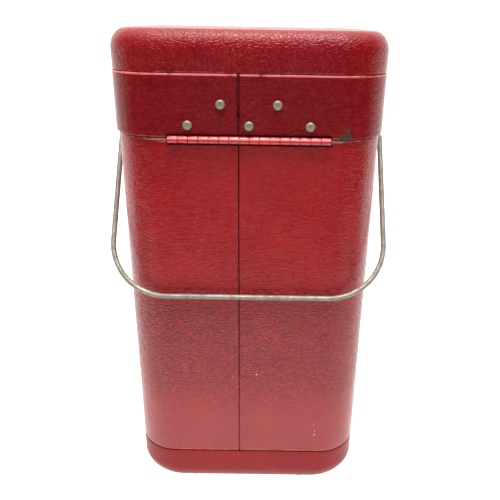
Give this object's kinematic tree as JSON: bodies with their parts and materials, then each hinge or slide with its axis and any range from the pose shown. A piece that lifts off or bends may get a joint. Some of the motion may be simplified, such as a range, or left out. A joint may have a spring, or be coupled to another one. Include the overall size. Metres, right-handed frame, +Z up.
{
  "type": "lunch box",
  "caption": "Tall rounded steel lunch box with a hinged lid, a swinging wire bail handle, a drawn bottom pan and a flip-up front hasp.",
  "frame": {"origin": "middle of the box's plan, on the plane that the four pressed feet stand on", "axes": "+Z up through the lid, +Y towards the hinge and the hanging bail, -Y towards the latch"},
  "size_m": [0.2388, 0.1888, 0.4264],
  "materials": {
    "red_enamel": "satin red enamel with an embossed leather grain",
    "bail_steel": "bare drawn wire, dulled",
    "hardware_steel": "plated sheet, dulled",
    "rivet_brass": "aged, with green-grey deposit"
  },
  "bodies": {
    "case": {"bottom_pan": "red_enamel", "body_sleeve": "red_enamel", "hinge_leaf_body": "red_enamel", "hinge_pin": "hardware_steel", "bail_ear_left": "hardware_steel", "bail_ear_right": "hardware_steel", "bail_ear_rivet_left_1": "rivet_brass", "bail_ear_rivet_left_2": "rivet_brass", "bail_ear_rivet_right_1": "rivet_brass", "bail_ear_rivet_right_2": "rivet_brass", "latch_base": "hardware_steel", "latch_pin": "hardware_steel", "latch_base_rivet_1": "rivet_brass", "latch_base_rivet_2": "rivet_brass"},
    "lid": {"lid_cap": "red_enamel", "lid_band": "red_enamel", "hinge_leaf_lid": "red_enamel", "hinge_rivet_1": "rivet_brass", "hinge_rivet_2": "rivet_brass", "hinge_rivet_3": "rivet_brass", "hinge_rivet_4": "rivet_brass", "hinge_rivet_5": "rivet_brass", "latch_catch": "hardware_steel", "latch_catch_rivet_1": "rivet_brass", "latch_catch_rivet_2": "rivet_brass"},
    "bail": {"bail_handle": "bail_steel"},
    "hasp": {"latch_hasp": "hardware_steel"}
  },
  "joints": [
    {"name": "lid_hinge", "type": "hinge", "parent": "case", "child": "lid", "pos_m": [0, 0.089, 0.3483], "axis": [-1, 0, 0], "range_deg": [0, 170]},
    {"name": "bail_swing", "type": "hinge", "parent": "case", "child": "bail", "pos_m": [0, 0, 0.3378], "axis": [1, 0, 0], "range_deg": [0, 286]},
    {"name": "latch_flip", "type": "hinge", "parent": "case", "child": "hasp", "pos_m": [0, -0.0915, 0.3338], "axis": [-1, 0, 0], "range_deg": [0, 180]}
  ]
}
